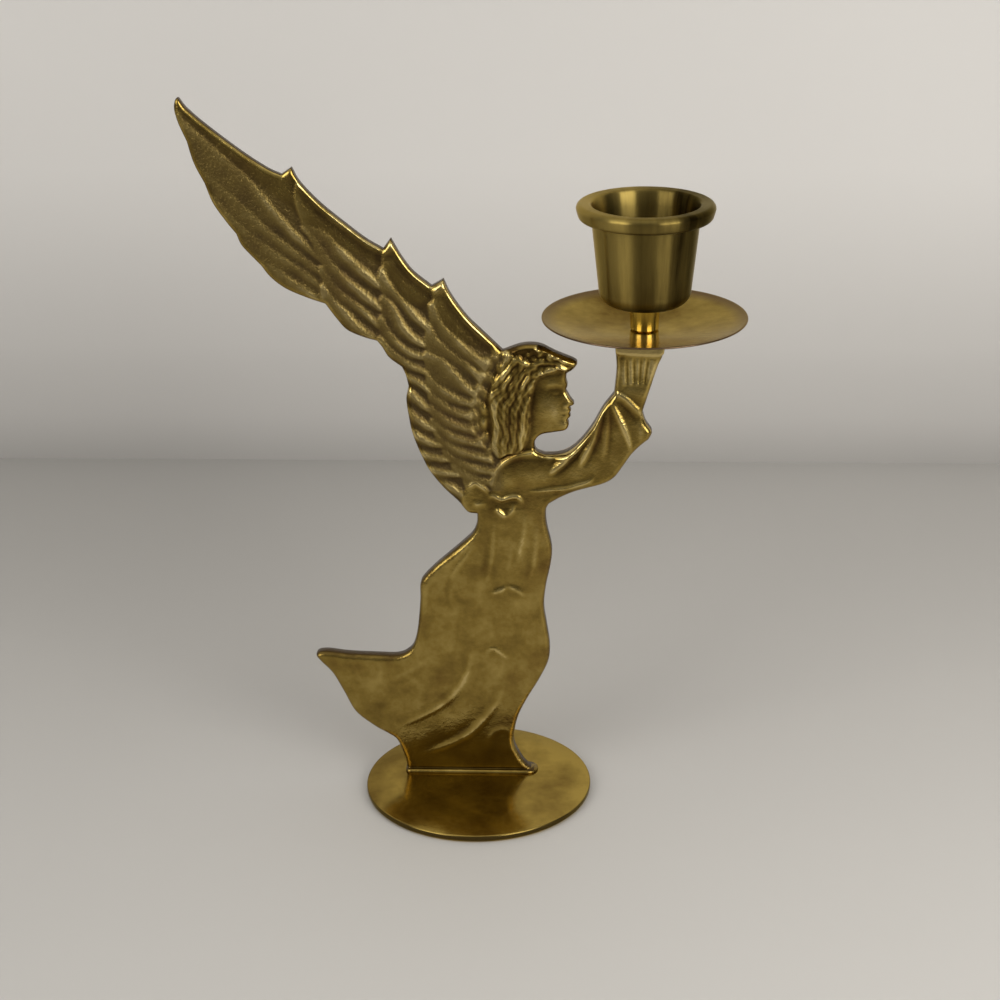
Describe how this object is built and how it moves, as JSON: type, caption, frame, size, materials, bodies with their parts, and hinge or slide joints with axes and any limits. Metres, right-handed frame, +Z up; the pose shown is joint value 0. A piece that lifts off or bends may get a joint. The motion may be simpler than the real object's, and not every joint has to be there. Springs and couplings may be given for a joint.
{
  "type": "candlestick",
  "caption": "Flat cast brass angel standing in profile on a round base, its wing swept up and its raised hand carrying a drip pan and a flared candle cup.",
  "frame": {"origin": "the centre of the base's underside, where it rests on the table", "axes": "+X along the flat figure from the wing towards the candle cup, +Y away from the viewer, +Z up along the figure's height"},
  "size_m": [0.1266, 0.0544, 0.1686],
  "materials": {
    "polished_brass": "spun and turned brass, polished, lightly tarnished",
    "cast_brass": "sand-cast brass, raised relief brushed bright, hollows tarnished olive brown",
    "bright_brass": "turned brass, mirror polished",
    "satin_brass": "turned brass, satin, tarnished",
    "screw_brass": "machined brass, plain"
  },
  "bodies": {
    "root": {"base_disc": "polished_brass", "angel_figure": "cast_brass", "foot_screw_left": "screw_brass", "foot_screw_right": "screw_brass", "drip_pan": "polished_brass", "cup_collar": "bright_brass", "candle_cup": "satin_brass", "cup_washer": "screw_brass", "cup_screw": "screw_brass"}
  },
  "joints": []
}
